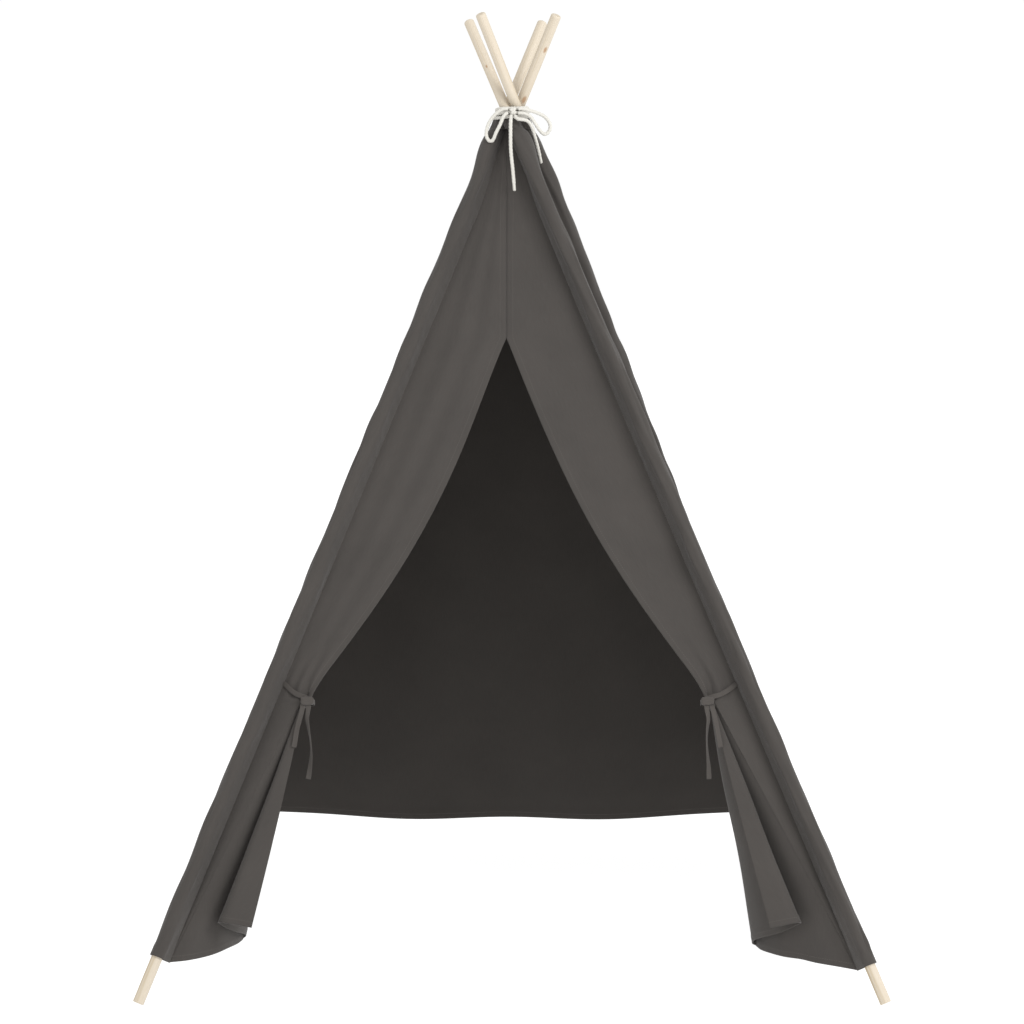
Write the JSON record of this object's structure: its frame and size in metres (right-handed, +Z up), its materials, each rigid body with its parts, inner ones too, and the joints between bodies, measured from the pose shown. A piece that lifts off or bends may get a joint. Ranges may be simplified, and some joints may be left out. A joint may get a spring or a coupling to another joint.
{
  "type": "kids teepee",
  "caption": "Square play teepee of jointed wooden poles crossed under a cord lashing, with a cotton cover whose doorway flaps are tied back.",
  "frame": {"origin": "on the floor, under the crossing of the poles", "axes": "+Z up, the doorway faces -Y, +X to the right seen from the doorway"},
  "size_m": [1.1982, 1.1982, 1.5989],
  "materials": {
    "pine": "sanded",
    "steel": "satin",
    "cotton": "matt canvas",
    "cord": "matt"
  },
  "bodies": {
    "lashing": {"top_collar": "cotton", "lashing_turns": "cord", "bow_knot": "cord", "bow_left_loop": "cord", "bow_right_loop": "cord", "bow_front_tail": "cord", "bow_right_tail": "cord"},
    "front_left_pole": {"front_left_lower_dowel": "pine", "front_left_middle_dowel": "pine", "front_left_upper_dowel": "pine", "front_left_lower_ferrule": "steel", "front_left_upper_ferrule": "steel", "front_left_pole_sleeve": "cotton"},
    "front_right_pole": {"front_right_lower_dowel": "pine", "front_right_middle_dowel": "pine", "front_right_upper_dowel": "pine", "front_right_lower_ferrule": "steel", "front_right_upper_ferrule": "steel", "front_right_pole_sleeve": "cotton"},
    "back_right_pole": {"back_right_lower_dowel": "pine", "back_right_middle_dowel": "pine", "back_right_upper_dowel": "pine", "back_right_lower_ferrule": "steel", "back_right_upper_ferrule": "steel", "back_right_pole_sleeve": "cotton"},
    "back_left_pole": {"back_left_lower_dowel": "pine", "back_left_middle_dowel": "pine", "back_left_upper_dowel": "pine", "back_left_lower_ferrule": "steel", "back_left_upper_ferrule": "steel", "back_left_pole_sleeve": "cotton"},
    "front_cover": {"front_left_flap": "cotton", "front_right_flap": "cotton", "front_left_tie_band": "cotton", "front_left_tie_knot": "cotton", "front_left_tie_tail_1": "cotton", "front_left_tie_tail_2": "cotton", "front_right_tie_band": "cotton", "front_right_tie_knot": "cotton", "front_right_tie_tail_1": "cotton", "front_right_tie_tail_2": "cotton"},
    "right_cover": {"right_panel": "cotton"},
    "back_cover": {"back_panel": "cotton"},
    "left_cover": {"left_panel": "cotton"},
    "front_left_door_skirt": {"front_left_skirt": "cotton"},
    "front_right_door_skirt": {"front_right_skirt": "cotton"}
  },
  "joints": [
    {"name": "front_left_pole_fold", "type": "hinge", "parent": "lashing", "child": "front_left_pole", "pos_m": [-0.01006, 0.01006, 1.436], "axis": [0.719, -0.695, 0], "range_deg": [0, 28], "deforming": ["front_left_pole_sleeve", "front_right_pole_sleeve", "back_right_pole_sleeve", "back_left_pole_sleeve", "right_panel", "back_panel", "left_panel", "front_left_flap", "front_right_flap", "front_left_tie_band", "front_left_tie_knot", "front_left_tie_tail_1", "front_left_tie_tail_2", "front_right_tie_band", "front_right_tie_knot", "front_right_tie_tail_1", "front_right_tie_tail_2", "front_left_skirt", "front_right_skirt"]},
    {"name": "front_right_pole_fold", "type": "hinge", "parent": "lashing", "child": "front_right_pole", "pos_m": [-0.01006, -0.01006, 1.436], "axis": [0.695, 0.719, 0], "range_deg": [0, 28]},
    {"name": "back_right_pole_fold", "type": "hinge", "parent": "lashing", "child": "back_right_pole", "pos_m": [0.01006, -0.01006, 1.436], "axis": [-0.719, 0.695, 0], "range_deg": [0, 28]},
    {"name": "back_left_pole_fold", "type": "hinge", "parent": "lashing", "child": "back_left_pole", "pos_m": [0.01006, 0.01006, 1.436], "axis": [-0.695, -0.719, 0], "range_deg": [0, 28]},
    {"name": "front_cover_fold", "type": "hinge", "parent": "lashing", "child": "front_cover", "pos_m": [0, 0, 1.436], "axis": [1, 0, 0], "range_deg": [0, 20.9]},
    {"name": "right_cover_fold", "type": "hinge", "parent": "lashing", "child": "right_cover", "pos_m": [0, 0, 1.436], "axis": [0, 1, 0], "range_deg": [0, 20.9]},
    {"name": "back_cover_fold", "type": "hinge", "parent": "lashing", "child": "back_cover", "pos_m": [0, 0, 1.436], "axis": [-1, 0, 0], "range_deg": [0, 20.9]},
    {"name": "left_cover_fold", "type": "hinge", "parent": "lashing", "child": "left_cover", "pos_m": [0, 0, 1.436], "axis": [0, -1, 0], "range_deg": [0, 20.9]},
    {"name": "front_left_skirt_swing", "type": "hinge", "parent": "front_cover", "child": "front_left_door_skirt", "pos_m": [-0.34448, -0.39366, 0.45209], "axis": [0.4277, 0.3291, 0.8419], "range_deg": [-10, 30], "stiffness_Nm_per_rad": 2, "deforming": ["front_left_skirt"]},
    {"name": "front_right_skirt_swing", "type": "hinge", "parent": "front_cover", "child": "front_right_door_skirt", "pos_m": [0.32956, -0.39405, 0.45209], "axis": [0.4516, -0.3252, -0.8308], "range_deg": [-10, 30], "stiffness_Nm_per_rad": 2, "deforming": ["front_right_skirt"]}
  ],
  "couplings": [
    {"joint": "front_right_pole_fold", "follows": "front_left_pole_fold", "ratio": 1},
    {"joint": "back_right_pole_fold", "follows": "front_left_pole_fold", "ratio": 1},
    {"joint": "back_left_pole_fold", "follows": "front_left_pole_fold", "ratio": 1},
    {"joint": "front_cover_fold", "follows": "front_left_pole_fold", "ratio": 0.744},
    {"joint": "right_cover_fold", "follows": "front_left_pole_fold", "ratio": 0.744},
    {"joint": "back_cover_fold", "follows": "front_left_pole_fold", "ratio": 0.744},
    {"joint": "left_cover_fold", "follows": "front_left_pole_fold", "ratio": 0.744}
  ]
}
